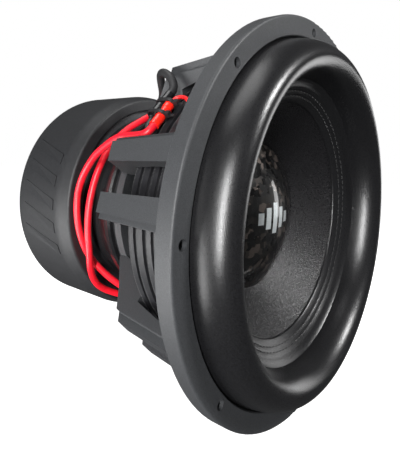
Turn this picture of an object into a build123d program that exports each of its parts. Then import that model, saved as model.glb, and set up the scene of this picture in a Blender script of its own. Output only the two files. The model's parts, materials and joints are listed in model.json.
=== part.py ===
from build123d import *
import os
from math import cos, pi, radians, sin, sqrt, tan

# A 15 inch, high-excursion car subwoofer driver, in millimetres. The driver's axis is Y: the
# cone faces -Y, the motor is at +Y, and +Z is up. The origin is the centre of the flange's rear
# face, which seats on the baffle. Angles run from +Z towards +X, in degrees.

os.makedirs("parts", exist_ok=True)

# Flange of the cast basket
FLANGE_R = 197.0
FLANGE_T = 16.0
BOLT_CIRCLE_R = 186.0
BOLT_R = 4.25
BOLTS = 8
RECESS_R = 178.3
SEAT_Y = -9.0
THROAT_R = 160.0

# Twin legs of the basket: six pairs, each leg a cap on a wider web
PAIRS = 6
PAIR_ANGLE = -16.2
TWIN_HALF_GAP = 14.0
CAP_SIDE = 32.0
CAP_SIDE_FLANGE = 35.6
LEDGE_W = 5.1
CAP_R = 164.5
CAP_R_FLANGE = 176.7
LEDGE_DROP = 7.1
LEG_Y = 99.0
TAPER_Y = 107.0
SHELF_Y = 85.4
ROOT_IN = 2.0
ROOT_STEP = 0.6
EDGE_R = 1.0
CAP_CORNER_R = 9.0
WEB_CORNER_R = 1.5

# Hub that bolts to the motor
HUB_R = 108.0
HUB_BORE_R = 60.0
HUB_Y0 = 134.0
HUB_Y1 = 144.5
SCREWS = 6
SCREW_CIRCLE_R = 84.0
SCREW_R = 3.0
SCREW_HOLE_R = 3.15
SCREW_HEAD_R = 5.0
SCREW_HEAD_H = 6.0
SCREW_LENGTH = 28.0

# Moving assembly
FORMER_R = 50.3
FORMER_T = 0.5
FORMER_Y0 = 57.0
FORMER_Y1 = 196.0
WIRE_T = 1.15
WINDING_Y0 = 133.0
CONE_EDGE_R = 135.5
CAP_EDGE_R = 77.0
CAP_EDGE_Y = 38.3
CAP_APEX_Y = 15.0
CAP_T = 1.6
NECK_Y = 61.9
CLEAR = 0.1

# Surround
ROLL_R = 158.2
ROLL_HALF_W = 18.0
ROLL_H = 31.6
ROLL_BASE_Y = -13.0
ROLL_T = 3.2
LAP_IN_R = 118.5
LAP_OUT_R = 134.0
LAP_T = 2.0
STITCH_RS = (124.6, 129.0)
THREAD_D = 0.9

# Spiders and the spacer rings between their rims
SPIDER_OUT_R = 142.0
SPIDER_CLAMP_R = 128.5
SPIDER_IN_R = 51.1
SPIDER_T = 1.4
SPIDER_CUP = 16.0
SPIDER_WAVES = 7
SPIDER_WAVE_H = 2.2
SPIDER_YS = (84.0, 74.5, 62.3, 52.9)

# Motor
TOP_PLATE_Y0 = 151.0
GAP_PLATE_Y1 = 177.0
TOP_PLATE_Y1 = 197.0
NECK_R = 107.0
NECK_LIP_R = 110.0
SPACER_R = 104.0
GAP_R = 54.2
MAGNETS = 3
MAGNET_R = 124.5
MAGNET_BORE_R = 62.0
MAGNET_T = 22.0
YOKE_Y0 = TOP_PLATE_Y1 + MAGNETS * MAGNET_T
YOKE_T = 22.0
POLE_R = 49.0
POLE_Y0 = 148.0
SLEEVE_T = 0.6
VENT_R = 20.0

# Rubber boot round the magnets
BOOT_Y0 = 192.0
BOOT_Y1 = 293.0
BOOT_R = 134.5
BOOT_LIP_R = 130.0
BOOT_LIP_BORE_R = 116.0
BOOT_REAR_BORE_R = 98.0

# Leads
RED_D = 7.5
BLACK_D = 8.5
TINSEL_D = 4.0
TIP_D = 4.6
TIP_LENGTH = 9.0
HALF_TURN = 180.0
RED_EXIT = 6.4
BLACK_EXIT = 6.0
TINSEL_EXIT = 4.0

# One splice and its leads, as (radius, angle, y). The other set is half a turn round.
SPLICE_LOW = (150.0, -54.8, 77.0)
SPLICE_HIGH = (150.0, -43.0, 75.0)
BLACK_SHIFT = 8.4
BLACK_LENGTH = 34.0
BLACK_OFFSET = 10.2
RED_ROUTE = [
    (151.3, -59, 81.5),
    (152, -59.7, 89.4),
    (152.6, -60, 99.5),
    (152.4, -60.4, 111),
    (149.6, -61.4, 123),
    (145.2, -63, 136),
    (140.2, -65.2, 151),
    (132.6, -69.4, 167.5),
    (127, -76, 180.5),
    (124, -85, 186.8),
    (123.6, -96, 186),
    (122.6, -107, 184.6),
    (120.4, -118, 183),
    (119.4, -128, 173),
    (118.6, -139, 161),
    (118.2, -152, 154),
    (118, -170, 152),
    (118, -188, 149.5),
    (117.8, -203, 146.6),
    (118.2, -214, 150),
    (118.6, -224, 159.5),
    (118.8, -236, 166.4),
    (119, -251, 168.6),
    (120, -267, 170.6),
    (122, -282, 172),
    (126, -292, 170.5),
    (130.5, -301, 174.5),
    (131, -310, 180.5),
    (129, -317, 182),
    (125.4, -324, 178),
    (122.4, -331, 172.5),
]
BLACK_ROUTE = [
    (158, -34.4, 85.6),
    (163, -33.1, 90),
    (166.2, -32.1, 96.5),
    (167.2, -31.2, 104),
    (162.4, -30.1, 111),
    (153, -28.9, 116),
    (143.6, -27, 122),
    (135.6, -24, 131.5),
    (128, -19.5, 145),
    (122.2, -13, 157.5),
    (119.5, -5, 164.5),
    (118.4, 6, 166.5),
    (118, 18, 165),
]
RED_TINSEL_ROUTE = [
    (150.4, -40, 71),
    (149.6, -39.9, 64.8),
    (149, -41.4, 58.6),
    (148.2, -44, 53),
    (145.2, -46, 47.4),
    (137, -46.5, 43.4),
    (121, -46.5, 43),
    (103, -46.5, 46),
    (86, -46.5, 51.4),
    (72, -46.5, 57.2),
    (62.4, -46.5, 61.8),
    (53.6, -46.5, 66.4),
]
BLACK_TINSEL_ROUTE = [
    (147, -55, 88.6),
    (139.5, -55.6, 93),
    (129, -55.4, 97),
    (114, -55, 100.5),
    (98, -54.8, 103.5),
    (82, -55, 106),
    (68, -55, 108.2),
    (54, -55, 109.6),
]


def at(radius, angle, y):
    """The point at that radius from the axis, that angle from the top and that depth."""
    return Vector(radius * sin(radians(angle)), y, radius * cos(radians(angle)))


def route_points(route, turned_by):
    """A route of (radius, angle, y) as points, turned round the axis."""
    return [at(radius, angle + turned_by, y) for radius, angle, y in route]


def write(piece, label):
    """Label a finished piece and write it as one STEP."""
    piece.part.label = label
    export_step(piece.part, f"parts/{label}.step")


def turned(outline):
    """A piece turned about the driver's axis from its (radius, y) corners."""
    with BuildPart() as piece:
        with BuildSketch(Plane.XY):
            with BuildLine():
                Polyline(*outline, close=True)
            make_face()
        revolve(axis=Axis.Y)
    return piece


def washer(inner, outer, y0, y1):
    """A plain ring between two radii and two depths."""
    return turned([(inner, y0), (outer, y0), (outer, y1), (inner, y1)])


def rims(piece, radius, y):
    """The circular edges about the driver's axis at that radius and depth."""
    found = []
    for edge in piece.edges().filter_by(GeomType.CIRCLE):
        centre = edge.arc_center
        on_axis = abs(centre.X) < 0.01 and abs(centre.Z) < 0.01
        if on_axis and abs(centre.Y - y) < 0.01 and abs(edge.radius - radius) < 0.01:
            found.append(edge)
    return found


# ---------------------------------------------------------------- basket
# One pair of legs is laid out with X outward, Y sideways and Z forward.
WEB_OUTLINE = [
    (CAP_R_FLANGE - LEDGE_DROP, -ROOT_IN),
    (CAP_R - LEDGE_DROP, LEG_Y - 1),
    (155.4, 104.8),
    (135, 118.2),
    (121.8, 128.6),
    (107.1, 140.2),
    (101.4, 143.5),
    (99.9, 136.9),
    (105.7, 119.8),
    (119, 102.6),
    (128.5, 89.5),
    (130, SHELF_Y),
    (142.7, SHELF_Y),
    (152.6, 52),
    (154.4, -ROOT_IN),
]
CAP_OUTLINE = [
    (CAP_R_FLANGE, -ROOT_IN),
    (CAP_R, LEG_Y),
    (153.4, 105.9),
    (148, 100),
    (CAP_R_FLANGE - LEDGE_DROP - 3, -ROOT_IN),
]


# The low step that each leg rises from, as (radius, side)
ROOT_OUTLINE = [
    (156, TWIN_HALF_GAP - 0.8),
    (CAP_R_FLANGE + 0.3, TWIN_HALF_GAP - 0.8),
    (CAP_R_FLANGE + 0.3, CAP_SIDE_FLANGE + 0.8),
    (CAP_R_FLANGE - LEDGE_DROP + 0.6, CAP_SIDE_FLANGE + 0.8),
    (CAP_R_FLANGE - LEDGE_DROP + 0.6, CAP_SIDE_FLANGE + LEDGE_W + 0.7),
    (156, CAP_SIDE_FLANGE + LEDGE_W + 0.7),
]


def leg_slab(outline, back_side, flange_side, back_corner, corner_r):
    """A slab of one leg: a side outline, tapered from the flange, with its back corner rounded."""
    with BuildPart() as slab:
        with BuildSketch(Plane.XZ) as side:
            with BuildLine():
                Polyline(*[(r, -y) for r, y in outline], close=True)
            make_face()
            corner = Vector(back_corner[0], 0, -back_corner[1])
            fillet(side.vertices().sort_by_distance(corner)[0], radius=corner_r)
        extrude(amount=-60)
        with BuildSketch(Plane.YZ):
            with BuildLine():
                Polyline(
                    (TWIN_HALF_GAP, 4),
                    (flange_side, 4),
                    (flange_side, 0),
                    (back_side, -TAPER_Y),
                    (back_side, -150),
                    (TWIN_HALF_GAP, -150),
                    close=True,
                )
            make_face()
        extrude(amount=200, mode=Mode.INTERSECT)
        outer_face = slab.faces().sort_by(Axis.X)[-1]
        fillet(outer_face.edges().filter_by(Axis.Y, reverse=True), radius=EDGE_R)
    return slab


leg_web = leg_slab(
    WEB_OUTLINE, CAP_SIDE + LEDGE_W, CAP_SIDE_FLANGE + LEDGE_W, (155.4, 104.8), WEB_CORNER_R
)
leg_cap = leg_slab(CAP_OUTLINE, CAP_SIDE, CAP_SIDE_FLANGE, (CAP_R, LEG_Y), CAP_CORNER_R)

with BuildPart() as leg_pair:
    add(leg_web.part)
    add(leg_cap.part)
    with BuildSketch(Plane.XY.offset(ROOT_IN)):
        with BuildLine():
            Polyline(*ROOT_OUTLINE, close=True)
        make_face()
    extrude(amount=-ROOT_IN - ROOT_STEP)
    mirror(about=Plane.XZ)

with BuildPart(Plane.XZ) as basket:
    with BuildSketch(Plane.XY):
        with BuildLine():
            Polyline(
                (THROAT_R, SEAT_Y),
                (RECESS_R, SEAT_Y),
                (RECESS_R, -FLANGE_T),
                (FLANGE_R, -FLANGE_T),
                (FLANGE_R, 0),
                (THROAT_R, 0),
                close=True,
            )
        make_face()
        with BuildLine():
            Polyline(
                (HUB_BORE_R, HUB_Y0),
                (HUB_R, HUB_Y0),
                (HUB_R, HUB_Y1),
                (HUB_BORE_R, HUB_Y1),
                close=True,
            )
        make_face()
    revolve(axis=Axis.Y)
    fillet(rims(basket, FLANGE_R, -FLANGE_T), radius=2.2)
    chamfer(rims(basket, RECESS_R, -FLANGE_T), length=0.9)
    chamfer(rims(basket, FLANGE_R, 0), length=0.8)
    chamfer(rims(basket, HUB_R, HUB_Y1), length=1.2)
    with PolarLocations(0, PAIRS, start_angle=90 - PAIR_ANGLE):
        add(leg_pair.part)
    with BuildSketch(Plane.XZ.offset(FLANGE_T)):
        with PolarLocations(BOLT_CIRCLE_R, BOLTS):
            Circle(BOLT_R)
    extrude(amount=-FLANGE_T, mode=Mode.SUBTRACT)
    with BuildSketch(Plane.XZ.offset(-HUB_Y0)):
        with PolarLocations(SCREW_CIRCLE_R, SCREWS, start_angle=90 - PAIR_ANGLE):
            Circle(SCREW_HOLE_R)
    extrude(amount=HUB_Y0 - HUB_Y1, mode=Mode.SUBTRACT)
write(basket, "basket")

with BuildPart(Plane.XZ) as basket_screws:
    with BuildSketch(Plane.XZ.offset(-HUB_Y0)):
        with PolarLocations(SCREW_CIRCLE_R, SCREWS, start_angle=90 - PAIR_ANGLE):
            Circle(SCREW_HEAD_R)
    extrude(amount=SCREW_HEAD_H)
    with BuildSketch(Plane.XZ.offset(-HUB_Y0)):
        with PolarLocations(SCREW_CIRCLE_R, SCREWS, start_angle=90 - PAIR_ANGLE):
            Circle(SCREW_R)
    extrude(amount=-SCREW_LENGTH)
    with BuildSketch(Plane.XZ.offset(SCREW_HEAD_H - HUB_Y0)):
        with PolarLocations(SCREW_CIRCLE_R, SCREWS, start_angle=90 - PAIR_ANGLE):
            RegularPolygon(SCREW_HEAD_R / 2, 6)
    extrude(amount=-SCREW_HEAD_H / 2, mode=Mode.SUBTRACT)
write(basket_screws, "basket_screws")

# ---------------------------------------------------------------- motor
def screw_bores(piece, y0, y1):
    """Cut the basket screws' clearance holes through a piece, between two depths."""
    with BuildPart(Plane.XZ) as bored:
        add(piece.part.located(Plane.XZ.location.inverse()))
        with BuildSketch(Plane.XZ.offset(-y0)):
            with PolarLocations(SCREW_CIRCLE_R, SCREWS, start_angle=90 - PAIR_ANGLE):
                Circle(SCREW_HOLE_R)
        extrude(amount=y0 - y1, mode=Mode.SUBTRACT)
    return bored


motor_spacer = screw_bores(
    washer(HUB_BORE_R, SPACER_R, HUB_Y1, TOP_PLATE_Y0), HUB_Y1, TOP_PLATE_Y0
)
write(motor_spacer, "motor_spacer")

top_plate_blank = turned(
    [
        (GAP_R, TOP_PLATE_Y0),
        (NECK_LIP_R - 2, TOP_PLATE_Y0),
        (NECK_LIP_R, TOP_PLATE_Y0 + 2),
        (NECK_LIP_R, TOP_PLATE_Y0 + 7),
        (NECK_R, TOP_PLATE_Y0 + 9.5),
        (NECK_R, TOP_PLATE_Y1),
        (MAGNET_BORE_R, TOP_PLATE_Y1),
        (MAGNET_BORE_R, GAP_PLATE_Y1 + 8),
        (GAP_R, GAP_PLATE_Y1),
    ]
)
top_plate = screw_bores(top_plate_blank, TOP_PLATE_Y0, HUB_Y0 + SCREW_LENGTH + 3)
write(top_plate, "top_plate")

for number in range(MAGNETS):
    front = TOP_PLATE_Y1 + number * MAGNET_T
    magnet = washer(MAGNET_BORE_R, MAGNET_R, front, front + MAGNET_T)
    chamfer(rims(magnet, MAGNET_R, front), length=1.5)
    chamfer(rims(magnet, MAGNET_R, front + MAGNET_T), length=1.5)
    write(magnet, f"magnet_{number + 1}")

yoke = turned(
    [
        (VENT_R, POLE_Y0),
        (POLE_R - 3, POLE_Y0),
        (POLE_R, POLE_Y0 + 3),
        (POLE_R, YOKE_Y0 - 10),
        (POLE_R + 4, YOKE_Y0),
        (MAGNET_R, YOKE_Y0),
        (MAGNET_R, YOKE_Y0 + YOKE_T - 5),
        (MAGNET_R - 12, YOKE_Y0 + YOKE_T),
        (VENT_R + 12, YOKE_Y0 + YOKE_T),
        (VENT_R + 8, YOKE_Y0 + YOKE_T - 4),
        (VENT_R + 8, YOKE_Y0 + YOKE_T - 6),
        (VENT_R, YOKE_Y0 + YOKE_T - 14),
    ]
)
write(yoke, "t_yoke")

copper_sleeve = washer(
    POLE_R + CLEAR / 2, POLE_R + CLEAR / 2 + SLEEVE_T, POLE_Y0 + 4, GAP_PLATE_Y1 + 6
)
write(copper_sleeve, "copper_sleeve")

shorting_ring = washer(GAP_R + 2.8, MAGNET_BORE_R - CLEAR, TOP_PLATE_Y1 + 1, YOKE_Y0 - 1)
write(shorting_ring, "shorting_ring")

SCREEN_R = VENT_R + 7.9
SCREEN_Y = YOKE_Y0 + YOKE_T - 4
with BuildPart(Plane.XZ) as vent_screen:
    with BuildSketch(Plane.XZ.offset(-SCREEN_Y)):
        Circle(SCREEN_R)
        Circle(2.4, mode=Mode.SUBTRACT)
        for ring, holes in ((7.2, 6), (14.2, 12), (21.2, 18)):
            with PolarLocations(ring, holes):
                Circle(2.4, mode=Mode.SUBTRACT)
    extrude(amount=-1.4)
write(vent_screen, "vent_screen")

with BuildPart() as magnet_boot:
    with BuildSketch(Plane.XY):
        with BuildLine():
            Polyline(
                (BOOT_LIP_BORE_R, BOOT_Y0),
                (BOOT_LIP_R, BOOT_Y0),
                (BOOT_R, BOOT_Y0 + 16),
                (BOOT_R, BOOT_Y1),
                (BOOT_REAR_BORE_R, BOOT_Y1),
                (BOOT_REAR_BORE_R, YOKE_Y0 + YOKE_T + 0.3),
                (MAGNET_R + 0.3, YOKE_Y0 + YOKE_T + 0.3),
                (MAGNET_R + 0.3, TOP_PLATE_Y1 - 0.3),
                (BOOT_LIP_BORE_R, TOP_PLATE_Y1 - 0.3),
                close=True,
            )
        make_face()
    revolve(axis=Axis.Y)
    fillet(rims(magnet_boot, BOOT_R, BOOT_Y1), radius=12)
    fillet(rims(magnet_boot, BOOT_LIP_R, BOOT_Y0), radius=3.2)
    fillet(rims(magnet_boot, BOOT_R, BOOT_Y0 + 16), radius=30)
    fillet(rims(magnet_boot, BOOT_LIP_BORE_R, BOOT_Y0), radius=2)
    fillet(rims(magnet_boot, BOOT_REAR_BORE_R, BOOT_Y1), radius=2)
write(magnet_boot, "magnet_boot")

# ---------------------------------------------------------------- moving assembly
FORMER_OUT_R = FORMER_R + FORMER_T
WINDING_Y1 = FORMER_Y1 - 1

voice_coil_former = washer(FORMER_R, FORMER_OUT_R, FORMER_Y0, FORMER_Y1)
write(voice_coil_former, "voice_coil_former")

coil_inner = washer(FORMER_OUT_R, FORMER_OUT_R + WIRE_T, WINDING_Y0, WINDING_Y1)
write(coil_inner, "coil_inner")

coil_outer = washer(
    FORMER_OUT_R + WIRE_T, FORMER_OUT_R + 2 * WIRE_T, WINDING_Y0 + 1, WINDING_Y1 - 1
)
write(coil_outer, "coil_outer")

cone = turned(
    [
        (CONE_EDGE_R, -8.3),
        (LAP_IN_R, 2.6),
        (CAP_EDGE_R, 38.9),
        (FORMER_OUT_R, NECK_Y),
        (FORMER_OUT_R, NECK_Y + 3.4),
        (52.6, NECK_Y + 2.4),
        (CAP_EDGE_R, 42.4),
        (LAP_IN_R, 6.2),
        (CONE_EDGE_R, -5.2),
    ]
)
write(cone, "cone")

spider_collar = washer(FORMER_OUT_R, FORMER_OUT_R + 0.9, 67.4, 106.4)
write(spider_collar, "spider_collar")

DOME_RISE = CAP_EDGE_Y - CAP_APEX_Y
DOME_R = (CAP_EDGE_R**2 + DOME_RISE**2) / (2 * DOME_RISE)


def dome_point(radius, sphere_r):
    """A point of the dust cap's spherical dome, at that distance from the axis."""
    return (radius, CAP_APEX_Y + DOME_R - sqrt(sphere_r**2 - radius**2))


INNER_DOME_R = DOME_R - CAP_T
with BuildPart() as dust_cap:
    with BuildSketch(Plane.XY):
        with BuildLine():
            ThreePointArc(
                dome_point(0, DOME_R), dome_point(40, DOME_R), dome_point(CAP_EDGE_R - 0.5, DOME_R)
            )
            Line(
                dome_point(CAP_EDGE_R - 0.5, DOME_R), dome_point(CAP_EDGE_R - 1.8, INNER_DOME_R)
            )
            ThreePointArc(
                dome_point(CAP_EDGE_R - 1.8, INNER_DOME_R),
                dome_point(40, INNER_DOME_R),
                dome_point(0, INNER_DOME_R),
            )
            Line(dome_point(0, INNER_DOME_R), dome_point(0, DOME_R))
        make_face()
    revolve(axis=Axis.Y)
write(dust_cap, "dust_cap")

# ---------------------------------------------------------------- surround and stitching
LAP_SLOPE = (0.4 - ROLL_BASE_Y - 2) / (LAP_OUT_R - LAP_IN_R)
LAP_SLANT = sqrt(1 + LAP_SLOPE**2)


def lap_y(radius):
    """Depth of the front of the surround's inner lap, which is stitched to the cone."""
    return ROLL_BASE_Y + 2 + (LAP_OUT_R - radius) * LAP_SLOPE


ROLL_IN_R = ROLL_R - ROLL_HALF_W
ROLL_OUT_R = ROLL_R + ROLL_HALF_W
FOOT_IN_R = 163.5
with BuildPart() as surround:
    with BuildSketch(Plane.XY):
        with BuildLine():
            EllipticalCenterArc(
                (ROLL_R, ROLL_BASE_Y), ROLL_HALF_W, ROLL_H, start_angle=180, arc_size=180
            )
            Polyline(
                (ROLL_OUT_R, ROLL_BASE_Y),
                (RECESS_R - 1, ROLL_BASE_Y + 1),
                (RECESS_R - 1, SEAT_Y - 0.05),
                (FOOT_IN_R, SEAT_Y - 0.05),
                (FOOT_IN_R, SEAT_Y - 2.5),
                (ROLL_OUT_R - ROLL_T, SEAT_Y - 2.5),
                (ROLL_OUT_R - ROLL_T, ROLL_BASE_Y),
            )
            EllipticalCenterArc(
                (ROLL_R, ROLL_BASE_Y),
                ROLL_HALF_W - ROLL_T,
                ROLL_H - ROLL_T,
                start_angle=180,
                arc_size=180,
            )
            Polyline(
                (ROLL_IN_R + ROLL_T, ROLL_BASE_Y),
                (ROLL_IN_R + 1.5, lap_y(LAP_OUT_R) + 2.6),
                (LAP_OUT_R, lap_y(LAP_OUT_R) + 2.4),
                (LAP_IN_R, lap_y(LAP_IN_R) + LAP_T),
                (LAP_IN_R, lap_y(LAP_IN_R)),
                (LAP_OUT_R, lap_y(LAP_OUT_R)),
                (ROLL_IN_R, ROLL_BASE_Y),
            )
        make_face()
    revolve(axis=Axis.Y)
write(surround, "surround")

with BuildPart() as stitch_thread:
    for row_r in STITCH_RS:
        with BuildSketch(Plane.XY):
            with Locations((row_r, lap_y(row_r) - THREAD_D / 2 * LAP_SLANT - 0.05)):
                Circle(THREAD_D / 2)
        revolve(axis=Axis.Y)
write(stitch_thread, "stitch_thread")


# ---------------------------------------------------------------- spiders and spacer rings
def spider_line(y, lift):
    """The corrugated line of one spider, from its rim to the former."""
    points = [(SPIDER_OUT_R, y + lift), (SPIDER_CLAMP_R, y + lift)]
    span = SPIDER_CLAMP_R - SPIDER_IN_R - 5
    steps = 2 * SPIDER_WAVES
    for step in range(1, steps):
        fraction = step / steps
        wave = SPIDER_WAVE_H * (-1) ** (step + 1)
        points.append((SPIDER_CLAMP_R - span * fraction, y + lift + SPIDER_CUP * fraction + wave))
    points.append((SPIDER_IN_R + 5, y + lift + SPIDER_CUP))
    points.append((SPIDER_IN_R + 0.7, y + lift + SPIDER_CUP))
    return points


for number, seat_y in enumerate(SPIDER_YS, start=1):
    rear_face = spider_line(seat_y, SPIDER_T)
    front_face = spider_line(seat_y, 0)
    spider = turned(front_face + rear_face[::-1])
    write(spider, f"spider_{number}")

RING_IN_R = SPIDER_CLAMP_R + 0.5
RING_STEP = 3.0
for number, (rear_y, front_y) in enumerate(zip(SPIDER_YS, SPIDER_YS[1:]), start=1):
    front = front_y + SPIDER_T
    waist = front + (rear_y - front) * 0.35
    spacer = turned(
        [
            (RING_IN_R, front),
            (SPIDER_OUT_R - RING_STEP, front),
            (SPIDER_OUT_R - RING_STEP, waist),
            (SPIDER_OUT_R, waist),
            (SPIDER_OUT_R, rear_y),
            (RING_IN_R, rear_y),
        ]
    )
    write(spacer, f"spacer_ring_{number}")

clamp_ring = washer(RING_IN_R, SPIDER_OUT_R, SPIDER_YS[-1] - 5, SPIDER_YS[-1])
write(clamp_ring, "spider_clamp_ring")


# ---------------------------------------------------------------- splices, ties and leads
def corner_radii(points):
    """The largest even radius that each corner of a route has room for."""
    radii = []
    for before, corner, after in zip(points, points[1:], points[2:]):
        run_in = corner - before
        run_out = after - corner
        half_turn = radians(run_in.get_angle(run_out) / 2)
        radii.append(0.45 * min(run_in.length, run_out.length) / tan(half_turn))
    return radii


def tube(points, diameter, label):
    """A cord's tube along straight runs joined by tangent arcs."""
    radii = corner_radii(points)
    with BuildPart() as cord:
        with BuildLine() as path:
            FilletPolyline(*points, radius=radii)
        with BuildSketch(Plane(origin=points[0], z_dir=points[1] - points[0])):
            Circle(diameter / 2)
        sweep(path=path.wire())
    length = path.wire().length
    ratio = cord.part.volume / (pi * diameter**2 / 4 * length)
    print(f"{label}: length {length:.1f}, volume ratio {ratio:.4f}, least radius {min(radii):.1f}")
    print("  radii " + " ".join(f"{radius:.0f}" for radius in radii))
    write(cord, label)


def rod(start, direction, sections, label):
    """Stacked round sections, each (radius, length), along a straight line."""
    with BuildPart() as piece:
        reached = 0
        for radius, length in sections:
            origin = start + direction * reached
            with BuildSketch(Plane(origin=origin, z_dir=direction)):
                Circle(radius)
            extrude(amount=length)
            reached += length
    write(piece, label)


def tie_pair(origins, direction, across, span, label):
    """Cable ties round the two splice sleeves: a band, its head and its cut tail."""
    with BuildPart() as ties:
        for origin in origins:
            middle = origin + across * (span / 2)
            face = Plane(origin=middle, x_dir=across, z_dir=direction)
            with BuildSketch(face):
                SlotOverall(span + 13.4, 13.4)
                SlotOverall(span + 11, 11, mode=Mode.SUBTRACT)
            extrude(amount=3.4)
            with BuildSketch(face):
                with Locations((-span / 2 - 8.4, 1.2)):
                    Rectangle(5.2, 5)
            extrude(amount=4.4)
            with BuildSketch(face.offset(0.5)):
                with Locations((-span / 2 - 12.6, 0)):
                    Rectangle(7, 1.1)
            extrude(amount=2.6)
    write(ties, label)


for letter, turn in (("a", 0), ("b", HALF_TURN)):
    low = at(SPLICE_LOW[0], SPLICE_LOW[1] + turn, SPLICE_LOW[2])
    high = at(SPLICE_HIGH[0], SPLICE_HIGH[1] + turn, SPLICE_HIGH[2])
    along = (high - low).normalized()
    across = (Vector(0, 1, 0) - along * along.Y).normalized()
    black_low = low + along * BLACK_SHIFT + across * BLACK_OFFSET
    black_high = black_low + along * BLACK_LENGTH

    length = (high - low).length
    rod(low, along, [(4.9, 11), (4.4, length - 20), (4.9, 5), (3.2, 4)], f"splice_red_{letter}")
    rod(
        black_low,
        along,
        [(3.2, 5), (5.0, BLACK_LENGTH - 13), (4.7, 8)],
        f"splice_black_{letter}",
    )
    tie_pair(
        [low + along * 11.6, low + along * 26.9],
        along,
        across,
        BLACK_OFFSET,
        f"cable_ties_{letter}",
    )

    cords = [
        (f"red_lead_{letter}", low, -RED_EXIT, RED_ROUTE, RED_D),
        (f"black_lead_{letter}", black_high, BLACK_EXIT, BLACK_ROUTE, BLACK_D),
    ]
    for label, start, exit_run, route, diameter in cords:
        points = [start, start + along * exit_run, *route_points(route, turn)]
        tube(points, diameter, label)
        end = points[-1]
        rod(end, (end - points[-2]).normalized(), [(TIP_D / 2, TIP_LENGTH)], f"{label}_tip")

    tinsels = [
        (f"red_tinsel_{letter}", high, TINSEL_EXIT, RED_TINSEL_ROUTE),
        (f"black_tinsel_{letter}", black_low, -TINSEL_EXIT, BLACK_TINSEL_ROUTE),
    ]
    for label, start, exit_run, route in tinsels:
        points = [start, start + along * exit_run, *route_points(route, turn)]
        tube(points, TINSEL_D, label)
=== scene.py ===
import json
from math import cos, pi, radians, sin

import bmesh
import bpy
import numpy as np
from mathutils import Matrix, Vector


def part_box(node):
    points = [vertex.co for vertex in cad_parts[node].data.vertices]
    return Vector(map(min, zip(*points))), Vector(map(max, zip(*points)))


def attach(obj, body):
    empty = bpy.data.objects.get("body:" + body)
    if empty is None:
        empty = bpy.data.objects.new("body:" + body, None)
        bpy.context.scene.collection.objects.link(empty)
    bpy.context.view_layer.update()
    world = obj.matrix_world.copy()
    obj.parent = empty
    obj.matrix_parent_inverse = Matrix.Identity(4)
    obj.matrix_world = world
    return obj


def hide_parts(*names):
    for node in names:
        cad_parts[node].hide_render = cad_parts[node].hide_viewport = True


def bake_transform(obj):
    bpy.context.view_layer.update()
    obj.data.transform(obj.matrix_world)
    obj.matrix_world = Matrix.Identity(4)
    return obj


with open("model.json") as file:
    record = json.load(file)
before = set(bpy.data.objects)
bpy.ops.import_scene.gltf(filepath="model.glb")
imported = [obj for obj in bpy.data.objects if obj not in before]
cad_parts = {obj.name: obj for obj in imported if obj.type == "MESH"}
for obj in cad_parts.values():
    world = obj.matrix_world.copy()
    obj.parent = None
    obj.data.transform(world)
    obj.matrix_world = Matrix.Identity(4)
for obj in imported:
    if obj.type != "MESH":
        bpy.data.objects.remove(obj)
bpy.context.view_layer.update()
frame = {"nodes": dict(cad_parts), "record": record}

# The looks of a car subwoofer driver, in metres in the frame's own axes. The driver's axis is Y,
# the cone faces -Y, and angles run round the axis from +Z towards +X, in degrees.

SCENE = bpy.context.scene
HALF_TURN = 180.0
SETS = (("a", 0.0), ("b", HALF_TURN))

# ---------------------------------------------------------------- sizes shared with the frame
FLANGE_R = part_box("basket")[1].x
RED_D = 0.0075
BLACK_D = 0.0085
TINSEL_D = 0.004
FORMER_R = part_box("voice_coil_former")[1].x

ROLL_R = 0.1582
ROLL_HALF_W = 0.018
ROLL_H = 0.0316
ROLL_BASE_Y = -0.013
ROLL_T = 0.0032
LAP_IN_R = 0.1185
LAP_OUT_R = 0.134
LAP_FRONT_Y = ROLL_BASE_Y + 0.002
LAP_SLOPE = (0.0004 - LAP_FRONT_Y) / (LAP_OUT_R - LAP_IN_R)
STITCH_RS = (0.1246, 0.129)

# The lap's front, as (radius, lift): a rounded inner edge and a shallow groove under each row
LAP_PROFILE = [
    (0.1185, -0.0006),
    (0.1188, -0.0001),
    (0.1193, 0.0),
    (0.1238, 0.0),
    (0.1243, -0.00015),
    (0.1249, -0.00015),
    (0.1254, 0.0),
    (0.1282, 0.0),
    (0.1287, -0.00015),
    (0.1293, -0.00015),
    (0.1298, 0.0),
    (0.1325, 0.0),
    (0.1341, -0.0001),
]

SPIDER_OUT_R = 0.142
SPIDER_CLAMP_R = 0.1285
SPIDER_T = 0.0014
SPIDER_CUFF_W = 0.0052
SPIDER_CUP = 0.016
SPIDER_WAVES = 7
SPIDER_WAVE_H = 0.0020

BOOT_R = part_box("magnet_boot")[1].x
RELIEF_BARS = 5
RELIEF_ANGLE = -112.0
RELIEF_PITCH = 11.0
RELIEF_HALF_W = 2.6
RELIEF_LEAN = 8.0
RELIEF_Y0 = 0.214
RELIEF_Y1 = 0.272
MARK_HEIGHTS = (0.006, 0.011, 0.016, 0.011, 0.006)
MARK_PITCH = 0.0125
MARK_BAR_W = 0.0085
CAP_EDGE_R = 0.077
CAP_RISE = 0.0233
CAP_SPHERE_R = (CAP_EDGE_R**2 + CAP_RISE**2) / (2 * CAP_RISE)
CAP_APEX_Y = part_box("dust_cap")[0].y

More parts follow.
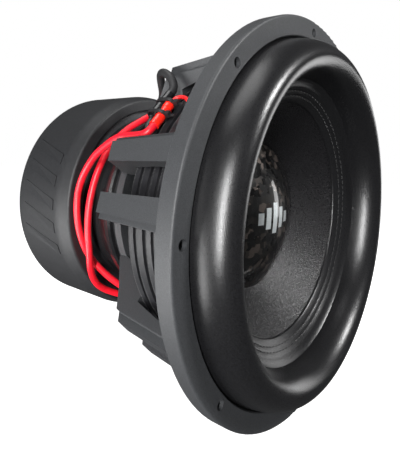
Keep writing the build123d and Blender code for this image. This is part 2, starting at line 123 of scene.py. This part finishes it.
# One splice and its leads, as (radius, angle, y). The other set is half a turn round.
SPLICE_LOW = (0.150, -54.8, 0.077)
SPLICE_HIGH = (0.150, -43.0, 0.075)
BLACK_SHIFT = 0.0084
BLACK_LENGTH = 0.034
BLACK_OFFSET = 0.0102
RED_EXIT = 0.0064
BLACK_EXIT = 0.006
TINSEL_EXIT = 0.004
RED_ROUTE = [
    (0.1513, -59, 0.0815),
    (0.152, -59.7, 0.0894),
    (0.1526, -60, 0.0995),
    (0.1524, -60.4, 0.111),
    (0.1496, -61.4, 0.123),
    (0.1452, -63, 0.136),
    (0.1402, -65.2, 0.151),
    (0.1326, -69.4, 0.1675),
    (0.127, -76, 0.1805),
    (0.124, -85, 0.1868),
    (0.1236, -96, 0.186),
    (0.1226, -107, 0.1846),
    (0.1204, -118, 0.183),
    (0.1194, -128, 0.173),
    (0.1186, -139, 0.161),
    (0.1182, -152, 0.154),
    (0.118, -170, 0.152),
    (0.118, -188, 0.1495),
    (0.1178, -203, 0.1466),
    (0.1182, -214, 0.150),
    (0.1186, -224, 0.1595),
    (0.1188, -236, 0.1664),
    (0.119, -251, 0.1686),
    (0.120, -267, 0.1706),
    (0.122, -282, 0.172),
    (0.126, -292, 0.1705),
    (0.1305, -301, 0.1745),
    (0.131, -310, 0.1805),
    (0.129, -317, 0.182),
    (0.1254, -324, 0.178),
    (0.1224, -331, 0.1725),
]
BLACK_ROUTE = [
    (0.158, -34.4, 0.0856),
    (0.163, -33.1, 0.090),
    (0.1662, -32.1, 0.0965),
    (0.1672, -31.2, 0.104),
    (0.1624, -30.1, 0.111),
    (0.153, -28.9, 0.116),
    (0.1436, -27, 0.122),
    (0.1356, -24, 0.1315),
    (0.128, -19.5, 0.145),
    (0.1222, -13, 0.1575),
    (0.1195, -5, 0.1645),
    (0.1184, 6, 0.1665),
    (0.118, 18, 0.165),
]
RED_TINSEL_ROUTE = [
    (0.1504, -40, 0.071),
    (0.1496, -39.9, 0.0648),
    (0.149, -41.4, 0.0586),
    (0.1482, -44, 0.053),
    (0.1452, -46, 0.0474),
    (0.137, -46.5, 0.0434),
    (0.121, -46.5, 0.043),
    (0.103, -46.5, 0.046),
    (0.086, -46.5, 0.0514),
    (0.072, -46.5, 0.0572),
    (0.0624, -46.5, 0.0618),
    (0.0536, -46.5, 0.0664),
]
BLACK_TINSEL_ROUTE = [
    (0.147, -55, 0.0886),
    (0.1395, -55.6, 0.093),
    (0.129, -55.4, 0.097),
    (0.114, -55, 0.1005),
    (0.098, -54.8, 0.1035),
    (0.082, -55, 0.106),
    (0.068, -55, 0.1082),
    (0.054, -55, 0.1096),
]


def at(radius, angle, y):
    """The point at that radius from the axis, that angle from the top and that depth."""
    return Vector((radius * sin(radians(angle)), y, radius * cos(radians(angle))))


# ---------------------------------------------------------------- node helpers
class Look:
    """One procedural material: a Principled shader with texture nodes in object space."""

    def __init__(self, name, roughness, metallic=0.0, **sockets):
        self.material = bpy.data.materials.new(name)
        self.material.use_nodes = True
        self.tree = self.material.node_tree
        self.shader = self.tree.nodes["Principled BSDF"]
        self.shader.inputs["Roughness"].default_value = roughness
        self.shader.inputs["Metallic"].default_value = metallic
        for socket, value in sockets.items():
            self.shader.inputs[socket.replace("_", " ")].default_value = value
        self.place = self.add("ShaderNodeTexCoord").outputs["Object"]
        self.normal = None

    def add(self, kind, **settings):
        node = self.tree.nodes.new(kind)
        for key, value in settings.items():
            setattr(node, key, value)
        return node

    def link(self, output, socket):
        self.tree.links.new(output, socket)

    def stretched(self, scale):
        """The object's coordinates, scaled differently along each axis."""
        node = self.add("ShaderNodeMapping")
        node.inputs["Scale"].default_value = scale
        self.link(self.place, node.inputs["Vector"])
        return node.outputs["Vector"]

    def noise(self, scale, detail=3.0, roughness=0.5, place=None):
        node = self.add("ShaderNodeTexNoise")
        node.inputs["Scale"].default_value = scale
        node.inputs["Detail"].default_value = detail
        node.inputs["Roughness"].default_value = roughness
        self.link(place or self.place, node.inputs["Vector"])
        return node.outputs["Fac"]

    def wave(self, scale, direction, distortion=0.0):
        node = self.add("ShaderNodeTexWave", bands_direction=direction)
        node.inputs["Scale"].default_value = scale
        node.inputs["Distortion"].default_value = distortion
        self.link(self.place, node.inputs["Vector"])
        return node.outputs["Fac"]

    def cells(self, scale, place=None, feature="F1"):
        node = self.add("ShaderNodeTexVoronoi", feature=feature)
        node.inputs["Scale"].default_value = scale
        self.link(place or self.place, node.inputs["Vector"])
        return node

    def ramp(self, value, stops, interpolation="LINEAR"):
        """A colour ramp through stops of (position, (r, g, b))."""
        node = self.add("ShaderNodeValToRGB")
        node.color_ramp.interpolation = interpolation
        elements = node.color_ramp.elements
        while len(elements) < len(stops):
            elements.new(0.5)
        for element, (position, colour) in zip(elements, stops):
            element.position = position
            element.color = (*colour, 1.0)
        self.link(value, node.inputs["Fac"])
        return node.outputs["Color"]

    def span(self, value, low, high, start=0.0, end=1.0):
        """The value mapped from start..end to low..high."""
        node = self.add("ShaderNodeMapRange")
        node.inputs["From Min"].default_value = start
        node.inputs["From Max"].default_value = end
        node.inputs["To Min"].default_value = low
        node.inputs["To Max"].default_value = high
        self.link(value, node.inputs["Value"])
        return node.outputs["Result"]

    def math(self, operation, first, second):
        node = self.add("ShaderNodeMath", operation=operation)
        self.link(first, node.inputs[0])
        if isinstance(second, float):
            node.inputs[1].default_value = second
        else:
            self.link(second, node.inputs[1])
        return node.outputs["Value"]

    def bump(self, height, distance, strength=1.0):
        """Raise the surface by a height in metres, on top of any bump before it."""
        node = self.add("ShaderNodeBump")
        node.inputs["Distance"].default_value = distance
        node.inputs["Strength"].default_value = strength
        self.link(height, node.inputs["Height"])
        if self.normal:
            self.link(self.normal, node.inputs["Normal"])
        self.normal = node.outputs["Normal"]
        self.link(self.normal, self.shader.inputs["Normal"])

    def colour(self, output):
        self.link(output, self.shader.inputs["Base Color"])

    def rough(self, output):
        self.link(output, self.shader.inputs["Roughness"])


def shades(base, spread):
    """A darker and a lighter shade of a colour, as ramp stops for a noise."""
    dark = tuple(channel * (1 - spread) for channel in base)
    light = tuple(channel * (1 + spread) for channel in base)
    return [(0.3, dark), (0.7, light)]


# ---------------------------------------------------------------- materials
def powder_coat():
    look = Look("textured_powder_coat", 0.5)
    look.colour(look.ramp(look.noise(1400, 2), shades((0.033, 0.0345, 0.037), 0.35)))
    look.rough(look.span(look.noise(900, 2), 0.42, 0.62))
    look.bump(look.noise(1700, 2), 0.00022, 0.55)
    look.bump(look.noise(60, 3), 0.0004, 0.12)
    return look.material


def surround_rubber():
    look = Look("surround_rubber", 0.34)
    look.colour(look.ramp(look.noise(900, 3), shades((0.0075, 0.0075, 0.0082), 0.45)))
    look.rough(look.span(look.noise(1300, 2), 0.23, 0.35))
    look.bump(look.noise(1500, 2), 0.00016, 0.5)
    look.bump(look.noise(38, 3), 0.0006, 0.10)
    return look.material


def cone_paper():
    look = Look("pressed_cone_paper", 0.45)
    look.colour(look.ramp(look.noise(700, 4), shades((0.0065, 0.0062, 0.0070), 0.6)))
    look.rough(look.span(look.noise(900, 2), 0.20, 0.48, 0.35, 0.65))
    look.bump(look.noise(620, 3, 0.65), 0.0007, 0.9)
    look.bump(look.noise(110, 4), 0.0012, 0.18)
    return look.material


def forged_carbon():
    look = Look("forged_carbon_cap", 0.28, 0.55, Coat_Weight=1.0, Coat_Roughness=0.02)
    warped = look.add("ShaderNodeVectorMath", operation="ADD")
    swirl = look.add("ShaderNodeTexNoise")
    swirl.inputs["Scale"].default_value = 60
    look.link(look.place, swirl.inputs["Vector"])
    shift = look.add("ShaderNodeVectorMath", operation="SCALE")
    shift.inputs["Scale"].default_value = 0.008
    look.link(swirl.outputs["Color"], shift.inputs[0])
    look.link(look.place, warped.inputs[0])
    look.link(shift.outputs["Vector"], warped.inputs[1])
    chips = look.cells(150, warped.outputs["Vector"])
    chips.distance = "CHEBYCHEV"
    parts = look.add("ShaderNodeSeparateColor")
    look.link(chips.outputs["Color"], parts.inputs["Color"])
    tones = look.ramp(
        parts.outputs["Red"],
        [
            (0.0, (0.005, 0.005, 0.005)),
            (0.55, (0.016, 0.014, 0.012)),
            (0.74, (0.045, 0.037, 0.032)),
            (0.88, (0.120, 0.096, 0.083)),
        ],
        "CONSTANT",
    )
    fibre = look.span(look.noise(420, 3, 0.6, look.stretched((1, 1, 5))), 0.55, 1.25)
    mixed = look.add("ShaderNodeVectorMath", operation="SCALE")
    look.link(tones, mixed.inputs[0])
    look.link(fibre, mixed.inputs["Scale"])
    look.colour(mixed.outputs["Vector"])
    look.rough(look.span(parts.outputs["Green"], 0.18, 0.5))
    look.bump(parts.outputs["Blue"], 0.0006, 0.35)
    return look.material


def boot_rubber():
    look = Look("boot_rubber", 0.6)
    look.colour(look.ramp(look.noise(240, 4), shades((0.014, 0.0145, 0.016), 0.2)))
    look.rough(look.span(look.noise(500, 3), 0.46, 0.62))
    look.bump(look.noise(1100, 2), 0.0001, 0.4)
    look.bump(look.noise(22, 2), 0.0012, 0.15)
    return look.material


def cord_skin(name, base, roughness, rib_scale=0.0):
    """Soft silicone: nearly even colour, dust-fine mottle and a slightly uneven skin."""
    look = Look(name, roughness, Coat_Weight=0.15, Coat_Roughness=0.35)
    look.colour(look.ramp(look.noise(180, 3), shades(base, 0.10)))
    look.rough(look.span(look.noise(420, 3), roughness - 0.07, roughness + 0.09))
    look.bump(look.noise(700, 2), 0.00008, 0.5)
    if rib_scale:
        look.bump(look.wave(rib_scale, "DIAGONAL"), 0.0003, 0.5)
    return look.material


def shrink_sleeve_skin(name, base):
    look = Look(name, 0.25, Coat_Weight=0.5, Coat_Roughness=0.12)
    look.colour(look.ramp(look.noise(220, 3), shades(base, 0.14)))
    look.rough(look.span(look.noise(300, 3), 0.18, 0.34))
    look.bump(look.noise(260, 3), 0.0006, 0.55)
    return look.material


def gloss_paint():
    look = Look("gloss_black_steel", 0.22, Coat_Weight=0.7, Coat_Roughness=0.06)
    look.colour(look.ramp(look.noise(90, 4), shades((0.009, 0.009, 0.010), 0.3)))
    look.rough(look.span(look.noise(350, 3), 0.16, 0.3))
    look.bump(look.noise(500, 2), 0.0001, 0.35)
    return look.material


def ferrite():
    look = Look("ground_ferrite", 0.62)
    look.colour(look.ramp(look.noise(300, 5), shades((0.040, 0.040, 0.043), 0.3)))
    look.rough(look.span(look.noise(800, 2), 0.5, 0.72))
    look.bump(look.noise(900, 3), 0.0002, 0.5)
    return look.material


def turned_metal(name, base, roughness):
    """Lathe-turned metal: fine rings about the driver's axis."""
    look = Look(name, roughness, 1.0)
    rings = look.add("ShaderNodeTexWave", wave_type="RINGS", rings_direction="Y")
    rings.inputs["Scale"].default_value = 900
    rings.inputs["Distortion"].default_value = 1.5
    look.link(look.place, rings.inputs["Vector"])
    look.colour(look.ramp(look.noise(160, 4), shades(base, 0.12)))
    look.rough(look.span(look.noise(260, 3), roughness - 0.06, roughness + 0.1))
    look.bump(rings.outputs["Fac"], 0.00006, 0.35)
    return look.material


def coil_wire():
    look = Look("enamelled_winding", 0.3, 1.0, Coat_Weight=0.5, Coat_Roughness=0.15)
    look.colour(look.ramp(look.noise(140, 3), shades((0.60, 0.22, 0.10), 0.15)))
    look.rough(look.span(look.noise(600, 2), 0.22, 0.38))
    look.bump(look.wave(260, "Y"), 0.0005, 0.8)
    return look.material


def spider_cloth():
    look = Look("spider_cloth", 0.78, Sheen_Weight=0.25, Sheen_Roughness=0.5)
    threads = look.math("MULTIPLY", look.wave(330, "X"), look.wave(330, "Z"))
    look.colour(look.ramp(threads, [(0.1, (0.007, 0.007, 0.008)), (0.8, (0.030, 0.030, 0.032))]))
    look.rough(look.span(look.noise(500, 3), 0.66, 0.86))
    look.bump(threads, 0.0003, 0.7)
    return look.material


def ring_plastic(name, base):
    look = Look(name, 0.35)
    look.colour(look.ramp(look.noise(200, 4), shades(base, 0.2)))
    look.rough(look.span(look.noise(600, 2), 0.27, 0.42))
    look.bump(look.noise(800, 2), 0.00015, 0.5)
    return look.material


def thread():
    look = Look("stitch_thread", 0.75, Sheen_Weight=0.3)
    look.colour(look.ramp(look.noise(1500, 2), shades((0.0022, 0.0022, 0.0025), 0.5)))
    look.rough(look.span(look.noise(900, 2), 0.6, 0.85))
    look.bump(look.wave(700, "DIAGONAL"), 0.0002, 0.8)
    return look.material


def collar_paper():
    look = Look("collar_paper", 0.8)
    look.colour(look.ramp(look.noise(350, 4), shades((0.13, 0.085, 0.05), 0.25)))
    look.rough(look.span(look.noise(700, 2), 0.7, 0.9))
    look.bump(look.noise(900, 3), 0.0002, 0.6)
    return look.material


def tie_nylon():
    look = Look("tie_nylon", 0.42)
    look.colour(look.ramp(look.noise(300, 3), shades((0.012, 0.012, 0.013), 0.3)))
    look.rough(look.span(look.noise(500, 2), 0.34, 0.5))
    look.bump(look.wave(500, "DIAGONAL"), 0.0002, 0.5)
    return look.material


def tinned_strand():
    look = Look("tinned_strand", 0.35, 1.0)
    look.colour(look.ramp(look.noise(400, 3), shades((0.55, 0.55, 0.53), 0.2)))
    look.rough(look.span(look.noise(500, 2), 0.28, 0.45))
    look.bump(look.wave(500, "DIAGONAL"), 0.0004, 0.9)
    return look.material


def cap_mark():
    look = Look("cap_mark_silver", 0.3, 0.6)
    look.colour(look.ramp(look.noise(500, 3), shades((0.62, 0.66, 0.67), 0.08)))
    look.rough(look.span(look.noise(700, 2), 0.24, 0.38))
    look.bump(look.noise(900, 2), 0.0001, 0.4)
    return look.material


def pale_floor():
    """A lightbox floor that glows white, so that it joins the white background."""
    look = Look("pale_floor", 0.9, Emission_Color=(1, 1, 1, 1), Emission_Strength=1.0)
    look.colour(look.ramp(look.noise(3, 2), [(0.3, (0.60, 0.60, 0.60)), (0.7, (0.64, 0.64, 0.64))]))
    return look.material


LOOKS = {
    "cast_basket": powder_coat(),
    "black_steel": gloss_paint(),
    "surround_rubber": surround_rubber(),
    "cone_paper": cone_paper(),
    "cap_gloss": forged_carbon(),
    "thread": thread(),
    "former_aluminium": turned_metal("former_aluminium", (0.55, 0.55, 0.57), 0.3),
    "copper_wire": coil_wire(),
    "collar_paper": collar_paper(),
    "ring_plastic": ring_plastic("spacer_ring_plastic", (0.016, 0.016, 0.018)),
    "spider_cloth": spider_cloth(),
    "spacer_aluminium": ring_plastic("anodised_spacer", (0.012, 0.012, 0.013)),
    "plate_steel": gloss_paint(),
    "ferrite": ferrite(),
    "boot_rubber": boot_rubber(),
    "red_silicone": cord_skin("red_silicone", (0.78, 0.008, 0.022), 0.38),
    "black_silicone": cord_skin("black_silicone", (0.012, 0.012, 0.013), 0.55),
    "red_sleeve": cord_skin("red_tinsel_sleeve", (0.78, 0.012, 0.014), 0.4, 600),
    "black_sleeve": cord_skin("black_tinsel_sleeve", (0.012, 0.012, 0.013), 0.5, 600),
    "red_heat_shrink": shrink_sleeve_skin("red_heat_shrink", (0.86, 0.018, 0.008)),
    "black_heat_shrink": shrink_sleeve_skin("black_heat_shrink", (0.008, 0.008, 0.009)),
    "tie_nylon": tie_nylon(),
    "tinned_strand": tinned_strand(),
}


def coat(piece, slot):
    """Give a piece the look of a record slot, all over."""
    piece.data.materials.clear()
    piece.data.materials.append(LOOKS[slot])


def finish_nodes():
    """Every CAD node that stays shown gets its slot's look."""
    slots = {row["node"]: row["material_slot"] for row in frame["record"]["subparts"]}
    for name, node in frame["nodes"].items():
        node.data.materials.clear()
        node.data.materials.append(LOOKS[slots[name]])


# ---------------------------------------------------------------- mesh helpers
SMOOTH_UNDER = radians(38)


def add_piece(name, vertices, faces):
    """A smooth-shaded mesh object with outward normals and sharp corners kept."""
    mesh = bpy.data.meshes.new(name)
    mesh.from_pydata([tuple(v) for v in vertices], [], faces)
    shape = bmesh.new()
    shape.from_mesh(mesh)
    bmesh.ops.recalc_face_normals(shape, faces=shape.faces)
    shape.to_mesh(mesh)
    shape.free()
    mesh.shade_smooth()
    mesh.set_sharp_from_angle(angle=SMOOTH_UNDER)
    piece = bpy.data.objects.new(name, mesh)
    SCENE.collection.objects.link(piece)
    return piece


def turned(name, outline, steps=240):
    """A ring turned about the driver's axis from its closed (radius, y) outline."""
    count = len(outline)
    vertices = [at(r, 360 * step / steps, y) for step in range(steps) for r, y in outline]
    faces = []
    for step in range(steps):
        here, there = step * count, (step + 1) % steps * count
        for k in range(count):
            after = (k + 1) % count
            faces.append((here + k, here + after, there + after, there + k))
    return add_piece(name, vertices, faces)


def arch(radius, y, half_width, height, start, end, steps=40):
    """Points on an arch over the roll, in (radius, y), between two angles in degrees."""
    points = []
    for step in range(steps + 1):
        angle = radians(start + (end - start) * step / steps)
        points.append((radius + half_width * cos(angle), y - height * sin(angle)))
    return points


def flex(piece):
    """Bake a piece's place into its mesh and read its vertex places; nothing more is done with
    them.
    """
    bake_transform(piece)
    places = np.zeros(len(piece.data.vertices) * 3, np.float32)
    piece.data.vertices.foreach_get("co", places)
    places = places.reshape(-1, 3)


# ---------------------------------------------------------------- surround and stitches
def lap_y(radius, lift=0.0):
    """Depth of the front of the lap that is stitched to the cone, raised by lift."""
    return LAP_FRONT_Y + (LAP_OUT_R - radius) * LAP_SLOPE - lift


def make_surround():
    """The tall half roll, its glued foot in the flange's recess and its stitched lap."""
    outline = [(radius, lap_y(radius, lift)) for radius, lift in LAP_PROFILE]
    outline += [(0.1375, -0.0122)]
    outline += arch(ROLL_R, ROLL_BASE_Y, ROLL_HALF_W, ROLL_H, 176, 4, 56)
    outline += [
        (0.1770, -0.0129),
        (0.1773, -0.0125),
        (0.1773, -0.00905),
        (0.1635, -0.00905),
        (0.1635, -0.0115),
        (0.1730, -0.0115),
    ]
    outline += arch(ROLL_R, ROLL_BASE_Y, ROLL_HALF_W - ROLL_T, ROLL_H - ROLL_T, 0, 180, 40)
    outline += [
        (0.1417, lap_y(LAP_OUT_R, -0.0026)),
        (0.134, lap_y(LAP_OUT_R, -0.0024)),
        (0.1185, lap_y(LAP_IN_R, -0.0020)),
    ]
    piece = turned("surround_roll", outline, 320)
    coat(piece, "surround_rubber")
    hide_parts("surround")
    flex(piece)


def dome_y(radius, lift):
    """Depth of the dust cap's dome at that radius, raised by lift."""
    sphere_r = CAP_SPHERE_R + lift
    return CAP_APEX_Y + CAP_SPHERE_R - (sphere_r**2 - radius**2) ** 0.5


def make_cap_mark():
    """A plain printed mark on the dust cap: five upright bars of even pitch."""
    lift, steps = 0.0001, 12
    vertices, faces = [], []
    for number, half_height in enumerate(MARK_HEIGHTS):
        left = (number - len(MARK_HEIGHTS) / 2) * MARK_PITCH + (MARK_PITCH - MARK_BAR_W) / 2
        base = len(vertices)
        for step in range(steps + 1):
            z = half_height * (2 * step / steps - 1)
            for x in (left, left + MARK_BAR_W / 2, left + MARK_BAR_W):
                vertices.append((x, dome_y((x * x + z * z) ** 0.5, lift), z))
        for step in range(steps):
            for column in (0, 1):
                corner = base + step * 3 + column
                faces.append((corner, corner + 1, corner + 4, corner + 3))
    piece = add_piece("cap_mark", vertices, faces)
    piece.data.materials.append(cap_mark())
    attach(piece, "cone_assembly")


def make_boot_relief():
    """Plain low bars moulded on the boot's side, where the real one has an embossed mark."""
    proud, sunk = 0.0008, 0.0015
    for number in range(RELIEF_BARS):
        middle = RELIEF_ANGLE + number * RELIEF_PITCH
        vertices = []
        for y, lean in ((RELIEF_Y0, 0.0), (RELIEF_Y1, RELIEF_LEAN)):
            for side in (-1, 1):
                for radius in (BOOT_R - sunk, BOOT_R + proud):
                    inset = 0.25 if radius > BOOT_R else 0.0
                    angle = middle + lean + side * (RELIEF_HALF_W - inset)
                    vertices.append(at(radius, angle, y))
        faces = [(0, 1, 5, 4), (2, 3, 7, 6), (1, 3, 7, 5), (0, 2, 6, 4), (0, 1, 3, 2), (4, 5, 7, 6)]
        piece = add_piece(f"boot_relief_{number + 1}", vertices, faces)
        coat(piece, "boot_rubber")
        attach(piece, "frame")


def make_stitches():
    """Two rows of short stitches, each dipping into the lap at both ends."""
    per_row = 120
    thread_r = 0.00042
    share_of_pitch = 0.70
    sides, rings = 8, 9
    vertices, faces = [], []
    for row, row_r in enumerate(STITCH_RS):
        pitch = 360 / per_row
        for number in range(per_row):
            middle = (number + 0.5 * row) * pitch
            base = len(vertices)
            for ring in range(rings):
                along = ring / (rings - 1) * 2 - 1
                taper = (1 - along**6) ** 0.5 + 0.02
                sink = 0.0004 * along**4 - 0.00022
                angle = middle + along * pitch * share_of_pitch / 2
                for side in range(sides):
                    turn = 2 * pi * side / sides
                    r = row_r + thread_r * taper * cos(turn)
                    y = lap_y(row_r) + sink + thread_r * taper * sin(turn)
                    vertices.append(at(r, angle, y))
            for ring in range(rings - 1):
                here, there = base + ring * sides, base + (ring + 1) * sides
                for side in range(sides):
                    after = (side + 1) % sides
                    faces.append((here + side, here + after, there + after, there + side))
            faces.append(tuple(range(base, base + sides)))
            last = base + (rings - 1) * sides
            faces.append(tuple(range(last, last + sides)))
    piece = add_piece("lap_stitches", vertices, faces)
    coat(piece, "thread")
    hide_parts("stitch_thread")
    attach(piece, "cone_assembly")


# ---------------------------------------------------------------- spiders
def make_spider(number):
    """One corrugated cloth spider, from its clamped rim to the former."""
    node = f"spider_{number}"
    half_t = 0.00045
    centre_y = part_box(node)[0].y + SPIDER_T / 2
    waved_in_r = FORMER_R + SPIDER_CUFF_W
    line = [(SPIDER_OUT_R - 0.0002, centre_y), (SPIDER_CLAMP_R, centre_y)]
    steps = 112
    for step in range(1, steps):
        share = step / steps
        ease = min(1, share * 2 * SPIDER_WAVES, (1 - share) * 2 * SPIDER_WAVES)
        wave = SPIDER_WAVE_H * ease * sin(pi * (2 * SPIDER_WAVES * share - 0.5))
        radius = SPIDER_CLAMP_R - (SPIDER_CLAMP_R - waved_in_r) * share
        line.append((radius, centre_y + SPIDER_CUP * share + wave))
    line.append((waved_in_r, centre_y + SPIDER_CUP))
    line.append((FORMER_R + 0.0011, centre_y + SPIDER_CUP))
    outline = [(r, y - half_t) for r, y in line] + [(r, y + half_t) for r, y in line[::-1]]
    piece = turned(f"{node}_cloth", outline, 180)
    coat(piece, "spider_cloth")
    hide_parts(node)
    flex(piece)


# ---------------------------------------------------------------- cords
def splice_frame(turn):
    """Where a set's splices lie: their ends and the direction along them."""
    low = at(SPLICE_LOW[0], SPLICE_LOW[1] + turn, SPLICE_LOW[2])
    high = at(SPLICE_HIGH[0], SPLICE_HIGH[1] + turn, SPLICE_HIGH[2])
    along = (high - low).normalized()
    across = (Vector((0, 1, 0)) - along * along.y).normalized()
    black_low = low + along * BLACK_SHIFT + across * BLACK_OFFSET
    black_high = black_low + along * BLACK_LENGTH
    return low, high, black_low, black_high, along


def route_points(route, turn):
    return [at(radius, angle + turn, y) for radius, angle, y in route]


def spline_through(name, points, diameter):
    """A cord: one NURBS spline whose control points are the route's points."""
    curve = bpy.data.curves.new(name, "CURVE")
    curve.dimensions = "3D"
    curve.bevel_depth = diameter / 2
    curve.bevel_resolution = 6
    curve.resolution_u = 10
    curve.use_fill_caps = True
    spline = curve.splines.new("NURBS")
    spline.points.add(len(points) - 1)
    for control, place in zip(spline.points, points):
        control.co = (*place, 1.0)
    spline.order_u = 3
    spline.use_endpoint_u = True
    cord = bpy.data.objects.new(name, curve)
    SCENE.collection.objects.link(cord)
    return cord


def centreline(cord):
    """The points of a cord's own spline, read without its thickness."""
    bare = cord.copy()
    bare.data = cord.data.copy()
    bare.data.bevel_depth = 0
    bare.data.use_fill_caps = False
    mesh = bpy.data.meshes.new_from_object(bare)
    return [vertex.co.copy() for vertex in mesh.vertices]


def as_mesh(cord, name):
    """The cord's tube as a mesh object of its own, in place of the curve."""
    mesh = bpy.data.meshes.new_from_object(cord)
    bpy.data.objects.remove(cord)
    mesh.shade_smooth()
    piece = bpy.data.objects.new(name, mesh)
    SCENE.collection.objects.link(piece)
    return piece


def make_lead(letter, colour, start, exit_run, route, diameter, turn):
    """A free lead, from its splice to its bare tinned end."""
    node = f"{colour}_lead_{letter}"
    points = [start, start + exit_run, *route_points(route, turn)]
    lead = spline_through(f"{node}_cord", points, diameter)
    lead.data.materials.append(LOOKS[f"{colour}_silicone"])
    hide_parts(node)
    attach(lead, "frame")


def make_tinsel(letter, colour, start, exit_run, route, turn):
    """A sleeved tinsel lead, from its splice to the former."""
    node = f"{colour}_tinsel_{letter}"
    points = [start, start + exit_run, *route_points(route, turn)]
    cord = spline_through(f"{node}_line", points, TINSEL_D)
    path = centreline(cord)
    piece = as_mesh(cord, f"{node}_cord")
    coat(piece, f"{colour}_sleeve")
    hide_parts(node)
    flex(piece)


def make_cords():
    for letter, turn in SETS:
        low, high, black_low, black_high, along = splice_frame(turn)
        make_lead(letter, "red", low, -along * RED_EXIT, RED_ROUTE, RED_D, turn)
        make_lead(
            letter,
            "black",
            black_high,
            along * BLACK_EXIT,
            BLACK_ROUTE,
            BLACK_D,
            turn,
        )
        make_tinsel(
            letter, "red", high, along * TINSEL_EXIT, RED_TINSEL_ROUTE, turn
        )
        make_tinsel(
            letter,
            "black",
            black_low,
            -along * TINSEL_EXIT,
            BLACK_TINSEL_ROUTE,
            turn,
        )


# ---------------------------------------------------------------- camera, light and floor
FOCAL_MM = 34.77
SENSOR_MM = 36.0
SHIFT_X = 0.0294
SHIFT_Y = -0.1146
CAMERA_PLACE = (-0.4069, -0.2000, 0.0590)
CAMERA_RIGHT = (0.63916, -0.76774, 0.04525)
CAMERA_FORWARD = (0.76908, 0.63805, -0.03761)
FLOOR_Z = -FLANGE_R - 0.0005
FLOOR_HALF = 6.0


def make_camera():
    """A camera at the front left, fitted to the flange, with its picture plane shifted."""
    data = bpy.data.cameras.new("camera")
    data.sensor_width = SENSOR_MM
    data.lens = FOCAL_MM
    data.shift_x = SHIFT_X
    data.shift_y = SHIFT_Y
    data.clip_start = 0.01
    camera = bpy.data.objects.new("camera", data)
    SCENE.collection.objects.link(camera)
    right = Vector(CAMERA_RIGHT).normalized()
    forward = Vector(CAMERA_FORWARD).normalized()
    up = right.cross(forward)
    turn = Matrix((right, up, -forward)).transposed()
    camera.matrix_world = Matrix.Translation(CAMERA_PLACE) @ turn.to_4x4()
    SCENE.camera = camera


def softbox(name, place, width, height, power, target=(0, 0, 0)):
    """A rectangular area light that faces a target."""
    data = bpy.data.lights.new(name, "AREA")
    data.shape = "RECTANGLE"
    data.size = width
    data.size_y = height
    data.energy = power
    light = bpy.data.objects.new(name, data)
    light.location = place
    light.rotation_euler = (Vector(target) - Vector(place)).to_track_quat("-Z", "Y").to_euler()
    SCENE.collection.objects.link(light)


def make_light():
    """Softboxes for the roll's streaks, the cone and the legs, and a world seen as white."""
    softbox("left_strip", (-1.42, -0.62, 0.15), 0.07, 1.2, 42)
    softbox("right_box", (1.50, -0.20, 0.10), 1.2, 0.6, 7)
    softbox("cone_box", (0.42, -1.00, 0.85), 0.28, 0.22, 16)
    softbox("left_low_box", (-1.30, 0.60, -0.60), 0.9, 0.9, 26)
    softbox("top_box", (-0.4, 0.3, 1.8), 1.2, 1.2, 14)
    world = bpy.data.worlds.new("studio")
    world.use_nodes = True
    nodes, links = world.node_tree.nodes, world.node_tree.links
    seen = nodes["Background"]
    seen.inputs["Color"].default_value = (1, 1, 1, 1)
    seen.inputs["Strength"].default_value = 1.0
    lighting = nodes.new("ShaderNodeBackground")
    lighting.inputs["Color"].default_value = (0.97, 0.98, 1.0, 1)
    lighting.inputs["Strength"].default_value = 0.07
    path = nodes.new("ShaderNodeLightPath")
    mix = nodes.new("ShaderNodeMixShader")
    links.new(path.outputs["Is Camera Ray"], mix.inputs["Fac"])
    links.new(lighting.outputs["Background"], mix.inputs[1])
    links.new(seen.outputs["Background"], mix.inputs[2])
    links.new(mix.outputs["Shader"], nodes["World Output"].inputs["Surface"])
    SCENE.world = world
    SCENE.view_settings.view_transform = "Standard"


def make_floor():
    """The floor is only seen: it lets light from below through and isn't reflected."""
    signs = ((-1, -1), (1, -1), (1, 1), (-1, 1))
    corners = [(x * FLOOR_HALF, y * FLOOR_HALF, FLOOR_Z) for x, y in signs]
    floor = add_piece("studio_floor", corners, [(0, 1, 2, 3)])
    floor.data.materials.append(pale_floor())
    floor.visible_glossy = False
    floor.visible_diffuse = False
    floor.visible_shadow = False


make_camera()
make_light()
make_floor()
finish_nodes()
make_cords()
make_surround()
make_stitches()
make_cap_mark()
make_boot_relief()
for spider_number in (1, 2, 3, 4):
    make_spider(spider_number)
